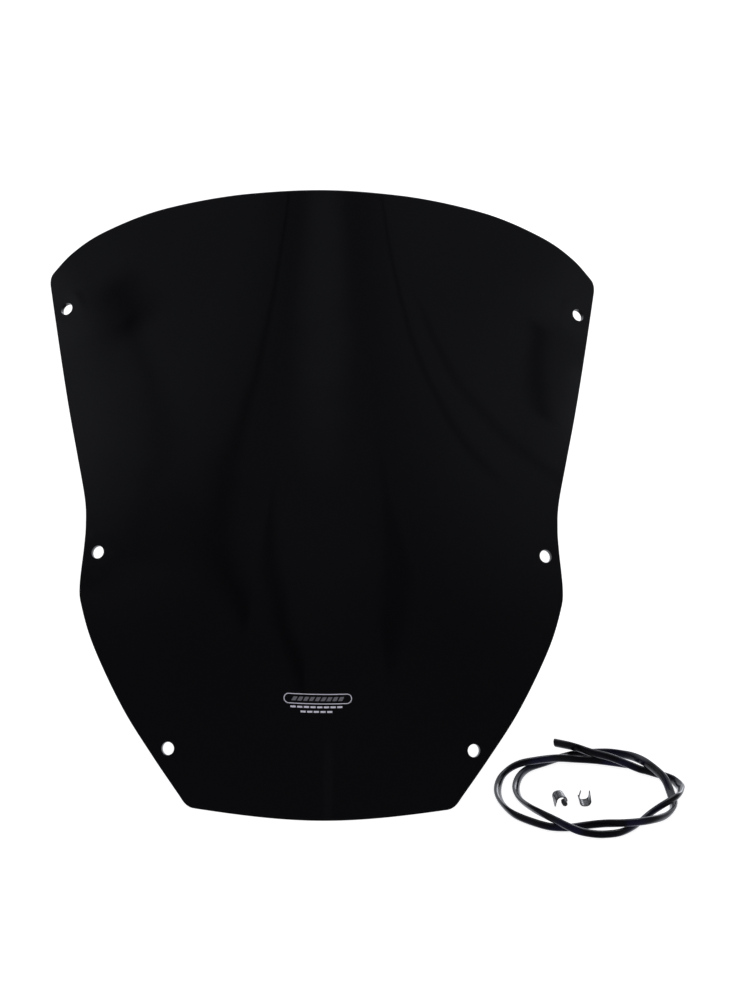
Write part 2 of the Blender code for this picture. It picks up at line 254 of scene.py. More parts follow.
# ---- Studio: what the polished surfaces mirror -----------------------------------------------
# Angles are in degrees; azimuth 0 is in front of the screen and 90 is on its right.
# The dim front: from and to which elevation, and radiance there. The rows add up.
FRONT_STEPS = (
    (29.0, 36.0, 0.050, 0.078),
    (36.0, 40.0, 0.0, 0.070),
    (45.0, 64.0, 0.0, 0.65),
)
SIDE_STEP = (38.0, 72.0, 0.0, 0.060)  # the same by azimuth, added to the front
BEHIND_STEP = (28.0, 65.0, 0.9, 0.80)  # the pale wall behind, by elevation
BEHIND_FROM = (95.0, 130.0)  # the azimuths over which the front turns into that wall
# Soft panels: middle as (azimuth, elevation), half size, blur, turn, and radiance added. The
# first two are lamps.
PANELS = (
    ((156.0, 14.0), (12.0, 11.0), 5.0, 0.0, 3.6),
    ((105.0, 62.0), (35.0, 13.0), 6.0, 0.0, 1.8),
    ((-82.0, 34.8), (4.2, 1.6), 2.2, 0.0, -0.08),
    ((-68.0, 35.3), (12.0, 0.5), 0.7, 0.0, -0.035),
    ((-43.0, 32.8), (13.0, 0.5), 0.7, -10.9, -0.035),
    ((-19.0, 31.5), (12.0, 0.9), 1.0, -11.8, -0.030),
    ((-90.0, 39.5), (9.0, 2.0), 2.0, 0.0, 0.03),
    ((4.0, 23.0), (2.0, 3.0), 1.0, 0.0, 0.02),
    ((33.0, 31.0), (6.0, 1.6), 1.0, 20.0, -0.02),
    ((62.0, 31.0), (0.7, 4.0), 0.8, 25.0, -0.035),
    ((66.5, 34.0), (0.8, 4.5), 0.8, 25.0, -0.03),
    ((77.5, 36.0), (6.0, 0.6), 0.7, -10.0, -0.06),
    ((72.0, 39.3), (9.0, 0.9), 0.8, 0.0, 0.08),
    ((92.0, 37.0), (7.0, 2.5), 2.0, 0.0, 0.04),
)
LEAST_RADIANCE = 0.02
MIRRORED_TINT = (0.95, 0.98, 1.06, 1.0)
WHITE = (1.0, 1.0, 1.0, 1.0)
MATT_LIGHT = 0.30
SEEN_LIGHT = 1.05

# ---- Floor ----------------------------------------------------------------------------------
FLOOR_RADIUS = 12.0
FLOOR_DROP = 0.0002  # under the level that the pieces stand on
FLOOR_SIDES = 96
FLOOR_GLOW = 0.90  # emission, so that the floor burns out

CURVE_STEP = 0.05  # part of a span between two of the points that trace a smooth curve
SLOPE_STEP = 1e-5  # reach over which the surface's slopes are measured


# ---- Colours, each from the darker to the lighter part of its pattern ------------------------
ACRYLIC_COLOURS = ((0.0022, 0.0022, 0.0028), (0.0032, 0.0030, 0.0042))
# The vinyl's lighter, bluer colour is partly its own navy tint and partly a painted blue-violet sheen.
VINYL_TINT_AND_SHEEN_COLOURS = ((0.0026, 0.0025, 0.0042), (0.0068, 0.0064, 0.0220))
STEEL_COLOURS = ((0.020, 0.020, 0.021), (0.150, 0.150, 0.148))
PALE_INK_COLOURS = ((0.66, 0.64, 0.78), (0.84, 0.82, 0.94))
GREY_INK_COLOURS = ((0.13, 0.13, 0.155), (0.20, 0.20, 0.23))
FLOOR_COLOURS = ((0.78, 0.78, 0.78), (0.82, 0.82, 0.82))
ACRYLIC_IOR = 1.49
VINYL_IOR = 1.52


# ---- Curves ----------------------------------------------------------------------------------
def smooth_curve(points, step, after=None):
    """Points at even distances along a smooth curve through the given ones."""
    points = [np.array(point, float) for point in points]
    first = 2 * points[0] - points[1]
    last = 2 * points[-1] - points[-2] if after is None else np.array(after, float)
    chain = [first] + points + [last]
    fine = []
    for a, b, c, d in zip(chain, chain[1:], chain[2:], chain[3:]):
        for t in np.arange(0, 1, CURVE_STEP):
            cubic = (3 * b - a - 3 * c + d) * t**3
            fine.append((2 * b + (c - a) * t + (2 * a - 5 * b + 4 * c - d) * t**2 + cubic) / 2)
    fine.append(points[-1])
    return even_spacing(np.array(fine), step)


def run_lengths(line):
    """Distance along the line from its first point to each point."""
    return np.concatenate([[0.0], np.cumsum(np.linalg.norm(np.diff(line, axis=0), axis=1))])


def even_spacing(line, step):
    """The line again, with points at even distances as near to the step as fits."""
    along = run_lengths(line)
    places = np.linspace(0.0, along[-1], max(1, round(along[-1] / step)) + 1)
    return np.stack([np.interp(places, along, column) for column in line.T], axis=1)


def cut_end(line, cut):
    """The line without the last stretch of the given length."""
    along = run_lengths(line)
    end = [np.interp(along[-1] - cut, along, column) for column in line.T]
    return np.vstack([line[along < along[-1] - cut], end])


def rounded_corner(line_in, line_out):
    """The two lines joined into one, with the corner between them rounded."""
    corner = line_in[-1]
    line_in = cut_end(line_in, CORNER_CUT)
    line_out = cut_end(line_out[::-1], CORNER_CUT)[::-1]
    steps = np.arange(1, CORNER_STEPS)[:, None] / CORNER_STEPS
    return np.vstack([line_in, bend(line_in[-1], corner, line_out[0], steps), line_out])


def bend(start, corner, end, part):
    """Places along the curve that rounds off a corner, by part from 0 to 1."""
    return (1 - part) ** 2 * start + 2 * part * (1 - part) * corner + part**2 * end


def unit(vectors):
    return vectors / np.linalg.norm(vectors, axis=-1, keepdims=True)


# ---- Blender helpers -------------------------------------------------------------------------
def mesh_piece(name, points, faces, finish, uvs=None):
    """A smooth mesh object; uvs has one pair for each vertex."""
    mesh = bpy.data.meshes.new(name)
    mesh.from_pydata(np.asarray(points, float).tolist(), [], faces)
    mesh.materials.append(finish)
    mesh.shade_smooth()
    if uvs is not None:
        corners = np.empty(len(mesh.loops), np.int32)
        mesh.loops.foreach_get("vertex_index", corners)
        layer = mesh.uv_layers.new(name="UVMap")
        layer.data.foreach_set("uv", np.asarray(uvs, np.float32)[corners].ravel())
    piece = bpy.data.objects.new(name, mesh)
    bpy.context.scene.collection.objects.link(piece)
    return piece


def band_faces(first, second, closed):
    """Four-sided faces between two rows of vertex numbers."""
    count = len(first)
    steps = range(count if closed else count - 1)
    return [(first[i], first[(i + 1) % count], second[(i + 1) % count], second[i]) for i in steps]


def node(tree, kind, inputs=None, **settings):
    """A new shader node.  An input is a value or the socket that it comes from."""
    made = tree.nodes.new("ShaderNode" + kind)
    for name, value in settings.items():
        setattr(made, name, value)
    for key, value in (inputs or {}).items():
        if isinstance(value, bpy.types.NodeSocket):
            tree.links.new(value, made.inputs[key])
        else:
            made.inputs[key].default_value = value
    return made


def calc(tree, operation, *values):
    return node(tree, "Math", dict(enumerate(values)), operation=operation).outputs[0]


def ramp(tree, value, start, end, low=0.0, high=1.0):
    """Runs smoothly from low to high as the value goes from start to end."""
    inputs = {"Value": value, "From Min": start, "From Max": end, "To Min": low, "To Max": high}
    return node(tree, "MapRange", inputs, interpolation_type="SMOOTHSTEP").outputs["Result"]


def noise(tree, vector, scale, detail=2.0):
    inputs = {"Vector": vector, "Scale": scale, "Detail": detail}
    return node(tree, "TexNoise", inputs).outputs["Fac"]


def stretched(tree, vector, scale):
    """The coordinates scaled by a different amount along each axis."""
    return node(tree, "Mapping", {"Vector": vector, "Scale": scale}).outputs["Vector"]


def colour_between(tree, part, low, high):
    mix = node(tree, "Mix", data_type="RGBA")
    tree.links.new(part, mix.inputs["Factor"])
    colours = [socket for socket in mix.inputs if socket.type == "RGBA"]
    colours[0].default_value = (*low, 1.0)
    colours[1].default_value = (*high, 1.0)
    return next(socket for socket in mix.outputs if socket.type == "RGBA")


def bumped(tree, height, distance, below=None):
    inputs = {"Height": height, "Distance": distance}
    if below is not None:
        inputs["Normal"] = below
    return node(tree, "Bump", inputs).outputs["Normal"]


def new_material(name):
    made = bpy.data.materials.new(name)
    made.use_nodes = True
    tree = made.node_tree
    return made, tree, tree.nodes["Principled BSDF"]


def feed(tree, shader, **sources):
    """Links sources to the shader's inputs, named with _ for a space."""
    for name, source in sources.items():
        tree.links.new(source, shader.inputs[name.replace("_", " ")])


# ---- Materials -------------------------------------------------------------------------------
def black_acrylic():
    made, tree, shader = new_material("black_acrylic")
    place = node(tree, "TexCoord").outputs["Object"]
    cloud = noise(tree, place, 14.0, detail=3.0)
    wipes = noise(tree, stretched(tree, place, (260.0, 260.0, 30.0)), 1.0, detail=3.0)
    specks = noise(tree, place, 900.0, detail=1.0)
    colour = colour_between(tree, cloud, *ACRYLIC_COLOURS)
    handled = calc(tree, "MULTIPLY_ADD", wipes, 0.035, 0.020)
    rough = calc(tree, "MULTIPLY_ADD", ramp(tree, specks, 0.68, 0.76), 0.05, handled)
    swell = noise(tree, place, 22.0, detail=1.0)
    bump = bumped(tree, wipes, 0.0000015, below=bumped(tree, swell, 0.00012))
    feed(tree, shader, Base_Color=colour, Roughness=rough, Normal=bump)
    shader.inputs["IOR"].default_value = ACRYLIC_IOR
    return made


def trim_vinyl():
    made, tree, shader = new_material("black_trim_vinyl")
    along = node(tree, "TexCoord").outputs["UV"]
    place = node(tree, "TexCoord").outputs["Object"]
    drawn = noise(tree, stretched(tree, along, (1.0, 0.02, 1.0)), 60.0, detail=2.0)
    dull = noise(tree, place, 130.0, detail=3.0)
    # Bluer patches at random: partly the vinyl's own navy tint, partly a painted blue-violet sheen that
    # stands in for its gloss highlights.
    tint_and_sheen_patches = ramp(tree, noise(tree, place, 45.0, detail=1.0), 0.48, 0.66)
    colour = colour_between(tree, tint_and_sheen_patches, *VINYL_TINT_AND_SHEEN_COLOURS)
    rough = calc(tree, "MULTIPLY_ADD", dull, 0.10, 0.06)
    dimples = bumped(tree, noise(tree, place, 700.0, detail=2.0), 0.00002)
    bump = bumped(tree, drawn, 0.00003, below=dimples)
    feed(tree, shader, Base_Color=colour, Roughness=rough, Normal=bump)
    shader.inputs["IOR"].default_value = VINYL_IOR
    return made


def spring_steel():
    made, tree, shader = new_material("spring_steel")
    place = node(tree, "TexCoord").outputs["Object"]
    mottle = noise(tree, place, 900.0, detail=3.0)
    rolled = noise(tree, stretched(tree, place, (9000.0, 900.0, 900.0)), 1.0, detail=2.0)
    colour = colour_between(tree, ramp(tree, mottle, 0.35, 0.65), *STEEL_COLOURS)
    rough = calc(tree, "MULTIPLY_ADD", rolled, 0.16, 0.16)
    bump = bumped(tree, mottle, 0.00003, below=bumped(tree, rolled, 0.00001))
    feed(tree, shader, Base_Color=colour, Roughness=rough, Normal=bump)
    shader.inputs["Metallic"].default_value = 1.0
    return made


def ink(name, low, high):
    made, tree, shader = new_material(name)
    place = node(tree, "TexCoord").outputs["Object"]
    worn = noise(tree, place, 2500.0, detail=3.0)
    rough = calc(tree, "MULTIPLY_ADD", worn, 0.2, 0.35)
    feed(tree, shader, Base_Color=colour_between(tree, worn, low, high), Roughness=rough)
    feed(tree, shader, Normal=bumped(tree, worn, 0.00001))
    return made


def floor_paint():
    """Pale enough to burn out, with only a hint of shadow where something touches it."""
    made, tree, shader = new_material("pale_floor")
    place = node(tree, "TexCoord").outputs["Object"]
    colour = colour_between(tree, noise(tree, place, 3.0), *FLOOR_COLOURS)
    feed(tree, shader, Base_Color=colour)
    shader.inputs["Roughness"].default_value = 1.0
    shader.inputs["Emission Color"].default_value = (1.0, 1.0, 1.0, 1.0)
    shader.inputs["Emission Strength"].default_value = FLOOR_GLOW
    return made


# ---- Camera and studio -----------------------------------------------------------------------
def place_camera():
    azimuth, elevation = CAMERA_AZIMUTH, CAMERA_ELEVATION
    back = Vector((
        math.sin(azimuth) * math.cos(elevation),
        -math.cos(azimuth) * math.cos(elevation),
        math.sin(elevation),
    ))
    level = Vector((math.cos(azimuth), math.sin(azimuth), 0.0))
    upright = back.cross(level)
    right = level * math.cos(CAMERA_ROLL) + upright * math.sin(CAMERA_ROLL)
    up = back.cross(right)
    camera = bpy.data.objects.new("camera", bpy.data.cameras.new("camera"))
    camera.data.sensor_width = SENSOR
    camera.data.lens = LENS
    camera.matrix_world = Matrix.Translation(AIM + CAMERA_DISTANCE * back) @ Matrix(
        (right, up, back)
    ).transposed().to_4x4()
    bpy.context.scene.collection.objects.link(camera)
    bpy.context.scene.camera = camera


def soft_patch(tree, azimuth, elevation, centre, half_size, blur, turn):
    """1 inside a soft-edged rectangle of the sky, 0 outside; all in degrees."""
    across = calc(tree, "SUBTRACT", azimuth, centre[0])
    rise = calc(tree, "SUBTRACT", elevation, centre[1])
    c, s = math.cos(math.radians(turn)), math.sin(math.radians(turn))
    u = calc(tree, "MULTIPLY_ADD", across, c, calc(tree, "MULTIPLY", rise, s))
    v = calc(tree, "MULTIPLY_ADD", across, -s, calc(tree, "MULTIPLY", rise, c))
    masks = []
    for place, half in ((u, half_size[0]), (v, half_size[1])):
        masks.append(ramp(tree, calc(tree, "ABSOLUTE", place), half - blur, half + blur, 1.0, 0.0))
    return calc(tree, "MULTIPLY", *masks)


def light_world():
    """Even pale light on matt surfaces; polished ones mirror a dim studio with a pale wall behind."""
    world = bpy.data.worlds.new("studio")
    bpy.context.scene.world = world
    world.use_nodes = True
    tree = world.node_tree
    tree.nodes.clear()
    way = node(tree, "SeparateXYZ", {0: node(tree, "TexCoord").outputs["Generated"]}).outputs
    forward = calc(tree, "MULTIPLY", way["Y"], -1.0)
    azimuth = calc(tree, "DEGREES", calc(tree, "ARCTAN2", way["X"], forward))
    elevation = calc(tree, "DEGREES", calc(tree, "ARCSINE", way["Z"]))
    aside = calc(tree, "ABSOLUTE", azimuth)

    front = ramp(tree, aside, *SIDE_STEP)
    for step in FRONT_STEPS:
        front = calc(tree, "ADD", front, ramp(tree, elevation, *step))
    beyond = calc(tree, "SUBTRACT", ramp(tree, elevation, *BEHIND_STEP), front)
    radiance = calc(tree, "MULTIPLY_ADD", ramp(tree, aside, *BEHIND_FROM), beyond, front)
    for centre, half_size, blur, turn, added in PANELS:
        panel = soft_patch(tree, azimuth, elevation, centre, half_size, blur, turn)
        radiance = calc(tree, "MULTIPLY_ADD", panel, added, radiance)
    radiance = calc(tree, "MAXIMUM", radiance, LEAST_RADIANCE)

    mirrored = node(tree, "Background", {"Color": MIRRORED_TINT, "Strength": radiance}).outputs[0]
    matt = node(tree, "Background", {"Color": WHITE, "Strength": MATT_LIGHT}).outputs[0]
    seen = node(tree, "Background", {"Color": WHITE, "Strength": SEEN_LIGHT}).outputs[0]
    rays = node(tree, "LightPath").outputs
    shaded = node(tree, "MixShader", {0: rays["Is Glossy Ray"], 1: matt, 2: mirrored}).outputs[0]
    final = node(tree, "MixShader", {0: rays["Is Camera Ray"], 1: shaded, 2: seen})
    tree.links.new(final.outputs[0], node(tree, "OutputWorld").inputs["Surface"])


def lay_floor():
    turns = np.arange(FLOOR_SIDES) * math.tau / FLOOR_SIDES
    rim = [(FLOOR_RADIUS * math.cos(t), FLOOR_RADIUS * math.sin(t), -FLOOR_DROP) for t in turns]
    floor = mesh_piece("studio_floor", rim, [tuple(range(len(rim)))], floor_paint())
    floor.visible_glossy = False


def set_view():
    view = bpy.context.scene.view_settings
    view.view_transform = "Standard"
    view.look = "None"


# ---- Edge trim -------------------------------------------------------------------------------
def trim_line():
    """The tube's centre line and how its section stands; it never goes below the ground."""
    line = smooth_curve(np.array(TRIM_ROUTE) / 1000, TRIM_STATION)
    heading = unit(np.gradient(line[:, :2], axis=0))
    stand = TRIM_STAND + TRIM_STAND_ALONG * heading[:, 0]
    stand = np.radians(stand + TRIM_STAND_ACROSS * heading[:, 1] ** TRIM_STAND_POWER)
    rise = np.hypot(TRIM_DEPTH / 2 * np.sin(stand), TRIM_BREADTH / 2 * np.cos(stand))
    line[:, 2] = np.maximum(line[:, 2], 0.0) + rise
    return line, stand


def trim_section():
    """The C-shaped oval section, closed, as (depth, breadth) with the slit on one narrow side."""
    half_wall = TRIM_WALL / 2
    deep, broad = TRIM_DEPTH / 2 - half_wall, TRIM_BREADTH / 2 - half_wall

    def place(turn, out):
        """A place on the wall: out is -1 on its inner side and 1 on its outer side."""
        normal = unit(np.array((broad * math.cos(turn), deep * math.sin(turn))))
        return np.array((deep * math.cos(turn), broad * math.sin(turn))) + out * half_wall * normal

    end = math.pi - TRIM_SLIT
    section = [place(turn, 1) for turn in np.linspace(-end, end, TRIM_SIDES)]
    for turn, side in ((end, 1), (-end, -1)):
        if side == -1:
            section += [place(back, -1) for back in np.linspace(end, -end, TRIM_SIDES // 2)]
        middle, outward = place(turn, 0), place(turn, 1) - place(turn, 0)
        along = side * np.array((-outward[1], outward[0]))
        for part in TRIM_LIP_PARTS:
            swing = math.pi * part
            section.append(middle + side * math.cos(swing) * outward + math.sin(swing) * along)
    return np.array(section)


def make_trim(finish):
    line, stand = trim_line()
    section = trim_section()
    along = run_lengths(line)
    ahead = unit(np.gradient(line, axis=0))
    side = unit(np.cross(ahead, (0.0, 0.0, 1.0)))
    upward = np.cross(side, ahead)
    cos, sin = np.cos(stand)[:, None], np.sin(stand)[:, None]
    depth_way, breadth_way = cos * side + sin * upward, cos * upward - sin * side
    points = line[:, None] + section[None, :, :1] * depth_way[:, None]
    points = points + section[None, :, 1:] * breadth_way[:, None]
    stations, count = len(line), len(section)
    round_it = np.append(0.0, np.cumsum(np.linalg.norm(np.diff(section, axis=0), axis=1)))
    uvs = np.stack(np.broadcast_arrays(round_it[None, :] * UV_SCALE, along[:, None] * UV_SCALE), axis=-1)
    numbers = np.arange(stations * count).reshape(stations, count)
    faces = []
    for a, b in zip(numbers, numbers[1:]):
        faces += band_faces(a.tolist(), b.tolist(), True)
    faces += end_cap(numbers[0].tolist(), True) + end_cap(numbers[-1].tolist(), False)
    trim = mesh_piece("trim_tube", points.reshape(-1, 3), faces, finish, uvs=uvs.reshape(-1, 2))
    trim.data.set_sharp_from_angle(angle=TRIM_SHARP)
    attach(trim, "trim")
    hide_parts("edge_trim")


def end_cap(ring, first):
    """Closes the cut end of the C-shaped section, face by face across its wall."""
    lips = len(TRIM_LIP_PARTS)
    outer = ring[:TRIM_SIDES]
    far_lip = ring[TRIM_SIDES:TRIM_SIDES + lips]
    inner = ring[TRIM_SIDES + lips:-lips][::-1]
    near_lip = ring[-lips:]
    faces = [tuple(outer[-1:] + far_lip + inner[-1:]), tuple(inner[:1] + near_lip + outer[:1])]
    step = (len(outer) - 1) / (len(inner) - 1)
    for i in range(len(inner) - 1):
        low, high = round(i * step), round((i + 1) * step)
        faces.append(tuple(outer[low:high + 1] + [inner[i + 1], inner[i]]))
    return [face if first else face[::-1] for face in faces]


# ---- Screen ----------------------------------------------------------------------------------
def screen_outline():
    """The closed outline in (x, z), anticlockwise, starting in the middle of the lower edge."""
    lower = even_spacing(np.array([(0.0, 0.0), SIDE_EDGE[0]]), EDGE_STEP)
    side = smooth_curve(SIDE_EDGE, EDGE_STEP)
    mirrored = (-UPPER_EDGE[-2][0], UPPER_EDGE[-2][1])
    upper = smooth_curve(UPPER_EDGE, EDGE_STEP, after=mirrored)
    half = rounded_corner(rounded_corner(lower, side), upper)
    return np.vstack([half, half[-2:0:-1] * (-1, 1)])


def polynomial(at_foot, at_half, at_top):
    """Coefficients of the parabola in z / HEIGHT through three values."""
    return (at_foot, 4 * at_half - 3 * at_foot - at_top, 2 * (at_foot - 2 * at_half + at_top))


def plain_y(x, z):
    """The sheet's middle surface, y over (x, z)."""
    t = z / HEIGHT
    a, b, c = polynomial(*LEAN)
    centre_line = HEIGHT * (a * t + b * t**2 / 2 + c * t**3 / 3)
    a, b, c = polynomial(*BOW)
    return centre_line + (a + b * t + c * t**2) * (np.hypot(NOSE, x) - NOSE)


def slopes(height_of, x, z):
    step = SLOPE_STEP
    across = (height_of(x + step, z) - height_of(x - step, z)) / (2 * step)
    up = (height_of(x, z + step) - height_of(x, z - step)) / (2 * step)
    return across, up


def hole_centres():
    """x, z, y and the two slopes of each of the six holes."""
    places = [(sign * x, z) for x, z in HOLES for sign in (-1, 1)]
    return [(x, z, plain_y(x, z), *slopes(plain_y, x, z)) for x, z in places]


CENTRES = hole_centres()


def formed_y(x, z):
    """The surface with its flat washer seats."""
    y = plain_y(x, z)
    for hole_x, hole_z, hole_y, across, up in CENTRES:
        dx, dz = x - hole_x, z - hole_z
        lift = across * dx + up * dz
        t = np.clip((np.sqrt(dx * dx + dz * dz + lift * lift) - SEAT_RADIUS) / SEAT_FADE, 0.0, 1.0)
        y = y + (1 - t * t * (3 - 2 * t)) * (hole_y + lift - y)
    return y


def skin(x, z, side):
    """Points and normals of the outer (side 1) or inner (side -1) face, over (x, z) arrays."""
    level_cut = np.maximum(0.0, 1 - z / LEVEL_CUT_REACH) * side * SHEET / 2
    shifted = z
    for _ in range(SKIN_ROUNDS):
        across, up = slopes(formed_y, x, shifted)
        length = np.sqrt(across**2 + up**2 + 1)
        shifted = z - level_cut * up / length
    reach = side * SHEET / 2 / length
    points = [x + reach * across, formed_y(x, shifted) - reach, shifted + reach * up]
    points = np.stack(points, axis=-1)
    points[z == 0, 2] = 0.0
    normals = np.stack([side * across / length, -side / length, side * up / length], axis=-1)
    return points, normals


def ring_round(hole, radius, sides):
    """A circle in the seat's plane, as (x, z) of the middle surface."""
    x, z, _, across, up = hole
    first = np.array((1.0, across, 0.0)) / math.hypot(1, across)
    second = np.cross(first, unit(np.array((-across, 1.0, -up))))
    turns = (np.arange(sides) * math.tau / sides)[:, None]
    arms = radius * (np.cos(turns) * first + np.sin(turns) * second)
    return (x, z) + arms[:, [0, 2]]


def set_in(outline, distance):
    """The outline moved inwards along the sheet, as (x, z)."""
    x, z = outline.T
    middle = np.stack([x, formed_y(x, z), z], axis=-1)
    along = unit(np.roll(middle, -1, axis=0) - np.roll(middle, 1, axis=0))
    across, up = slopes(formed_y, x, z)
    outward = np.cross(along, unit(np.stack([across, -np.ones_like(x), up], axis=-1)))
    return outline - distance * outward[:, [0, 2]]


def inside(polygon, places):
    """Whether each place lies inside the polygon, by counting the edges to its right."""
    a, b = polygon, np.roll(polygon, -1, axis=0)
    x, z = places[:, :1], places[:, 1:]
    spans = (a[:, 1] > z) != (b[:, 1] > z)
    rise = np.where(b[:, 1] == a[:, 1], 1.0, b[:, 1] - a[:, 1])
    crossings = a[:, 0] + (z - a[:, 1]) * (b[:, 0] - a[:, 0]) / rise
    return np.count_nonzero(spans & (crossings > x), axis=1) % 2 == 1


def grid_inside(outline):
    """A staggered grid inside the outline, clear of its edge and of the seats."""
    row_step = GRID_STEP * math.sqrt(3) / 2
    columns = int(outline[:, 0].max() / GRID_STEP) + 1
    places = np.array([
        ((column + 0.5 * (row % 2)) * GRID_STEP, row * row_step)
        for row in range(int(HEIGHT / row_step) + 2)
        for column in range(-columns, columns + 1)
    ])
    places = places[inside(outline, places)]
    gaps = np.linalg.norm(places[:, None] - outline[None], axis=-1).min(axis=1)
    places = places[gaps > EDGE_CLEARANCE]
    for x, z, *_ in CENTRES:
        places = places[np.hypot(*(places - (x, z)).T) > SEAT_RADIUS + SEAT_CLEARANCE]
    return places


def make_screen(finish):
    """The sheet: fine triangles on both faces, and rounded, polished edges."""
    outline = screen_outline()
    rims = [ring_round(hole, HOLE_RADIUS, HOLE_SIDES) for hole in CENTRES]
    inner_rims = [ring_round(hole, HOLE_RADIUS + HOLE_ROUND, HOLE_SIDES) for hole in CENTRES]
    seats = [
        ring_round(hole, radius, SEAT_SIDES)
        for hole in CENTRES
        for radius in ((HOLE_RADIUS + SEAT_RADIUS) / 2, SEAT_RADIUS)
    ]
    loops = [set_in(outline, EDGE_ROUND)] + inner_rims
    borders, start = [], 0
    for loop in loops:
        borders += [(start + i, start + (i + 1) % len(loop)) for i in range(len(loop))]
        start += len(loop)
    flat = np.vstack(loops + seats + [grid_inside(loops[0])])
    places, _, triangles, origins, *_ = delaunay_2d_cdt(flat.tolist(), borders, [], 0, MERGE_REACH)
    places = np.array([tuple(place) for place in places])
    triangles = np.array([tuple(triangle) for triangle in triangles])
    middles = places[triangles].mean(axis=1)
    kept = inside(loops[0], middles)
    for rim in inner_rims:
        kept &= ~inside(rim, middles)
    triangles = triangles[kept]

    count = len(places)
    outer, outer_normals = skin(*places.T, 1)
    inner, inner_normals = skin(*places.T, -1)
    station = {
        number: origin[0] for number, origin in enumerate(origins) if origin and origin[0] < start
    }
    number_at = {at: number for number, at in station.items()}
    at_edge = np.array([number_at[at] for at in range(start)])
    corners = np.vstack([outline] + rims)
    front_corner, back_corner = skin(*corners.T, 1)[0], skin(*corners.T, -1)[0]
    through = unit(back_corner - front_corner)
    rounding = np.repeat((EDGE_ROUND, HOLE_ROUND), (len(outline), start - len(outline)))
    front_wall = front_corner + rounding[:, None] * through
    back_wall = back_corner - rounding[:, None] * through
    rows = [at_edge]
    edge_points = []
    parts = np.arange(1, ROUND_STEPS + 1) / ROUND_STEPS
    sections = [(outer[at_edge], front_corner, front_wall, part) for part in parts]
    sections += [(back_wall, back_corner, inner[at_edge], part) for part in parts - parts[0]]
    for row, (begin, corner, end, part) in enumerate(sections):
        edge_points.append(bend(begin, corner, end, part))
        rows.append(2 * count + row * start + np.arange(start))
    rows.append(at_edge + count)
    faces = triangles.tolist() + (triangles[:, ::-1] + count).tolist()
    for a, b in open_edges(triangles.tolist()):
        a, b = station[a], station[b]
        faces += [
            (int(first[b]), int(first[a]), int(second[a]), int(second[b]))
            for first, second in zip(rows, rows[1:])
        ]
    points = np.vstack([outer, inner] + edge_points)
    piece = mesh_piece("screen_sheet", points, faces, finish)
    normals = np.array([vertex.normal for vertex in piece.data.vertices])
    normals[:2 * count] = np.vstack([outer_normals, inner_normals])
    piece.data.normals_split_custom_set_from_vertices(normals.tolist())
    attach(piece, "screen")
    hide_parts("screen_panel")


def open_edges(triangles):
    """The edges that only one triangle has, in that triangle's direction."""
    edges = {edge for a, b, c in triangles for edge in ((a, b), (b, c), (c, a))}
    return sorted(edge for edge in edges if edge[::-1] not in edges)


# ---- Print -----------------------------------------------------------------------------------
def print_solid(first, second, closed):
    """Points and faces of a thin print between two lines, given from the mark's centre."""
    _, up = slopes(formed_y, *MARK_CENTRE)
    flatten = 1 / math.hypot(1, up)
    rows = []
    for line, lift in ((first, INK), (second, INK), (second, -INK_ROOT), (first, -INK_ROOT)):
        line = np.asarray(line)
        x, z = MARK_CENTRE[0] + line[:, 0], MARK_CENTRE[1] + flatten * line[:, 1]
        points, normals = skin(x, z, 1)
        rows.append(points + lift * normals)
    count = len(first)
    numbers = np.arange(4 * count).reshape(4, count).tolist()
    faces = []
    for a, b in zip(numbers, numbers[1:] + numbers[:1]):
        faces += band_faces(a, b, closed)
    if not closed:
        faces += [tuple(row[0] for row in numbers), tuple(row[-1] for row in reversed(numbers))]
    return np.vstack(rows), faces


def print_piece(name, solids, finish):
    points, faces = [], []
    for solid_points, solid_faces in solids:
        start = sum(len(part) for part in points)
        points.append(solid_points)
        faces += [tuple(start + i for i in face) for face in solid_faces]
    piece = mesh_piece(name, np.vstack(points), faces, finish)
    piece.data.set_sharp_from_angle(angle=PRINT_SHARP)
    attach(piece, "screen")


def pill(straight, half_height):
    """A closed line with round ends, from half its straight part and half its height."""
    turns = np.linspace(-math.pi / 2, math.pi / 2, PILL_END_POINTS)
    right = np.stack([straight + half_height * np.cos(turns), half_height * np.sin(turns)], axis=1)
    top = np.linspace(straight, -straight, round(2 * straight / PRINT_STEP))[1:-1]
    upper = np.stack([top, np.full_like(top, half_height)], axis=1)
    return np.vstack([right, upper, -right, -upper])


def bar(centre, length, height, slant=0.0):
    """A solid slanted bar as its lower and upper line."""
    across = np.linspace(-length / 2, length / 2, max(2, round(length / PRINT_STEP) + 1))
    lines = []
    for rise in (-height / 2, height / 2):
        up = np.full_like(across, centre[1] + rise)
        lines.append(np.stack([centre[0] + across + slant * rise, up], axis=1))
    return print_solid(*lines, False)


def make_print(pale, grey):
    """A plain ring with slanted bars, and two rows of dashes; nothing that reads as a word."""
    half_length, half_height = MARK_SIZE
    straight = half_length - half_height
    ring = print_solid(pill(straight, half_height), pill(straight, half_height - MARK_LINE), True)
    first = -(BAR_COUNT - 1) / 2
    bars = [
        bar(((first + i) * BAR_PITCH, 0.0), BAR_WIDTH, BAR_HEIGHT, BAR_SLANT) for i in range(BAR_COUNT)
    ]
    dashes = [
        bar((x + (i - (count - 1) / 2) * DASH_PITCH, up), DASH_LENGTH, DASH_HEIGHT)
        for (x, up), count in DASH_ROWS
        for i in range(count)
    ]
    print_piece("print_ring", [ring], pale)
    print_piece("print_bars", bars, grey)
    print_piece("print_dashes", dashes, pale)


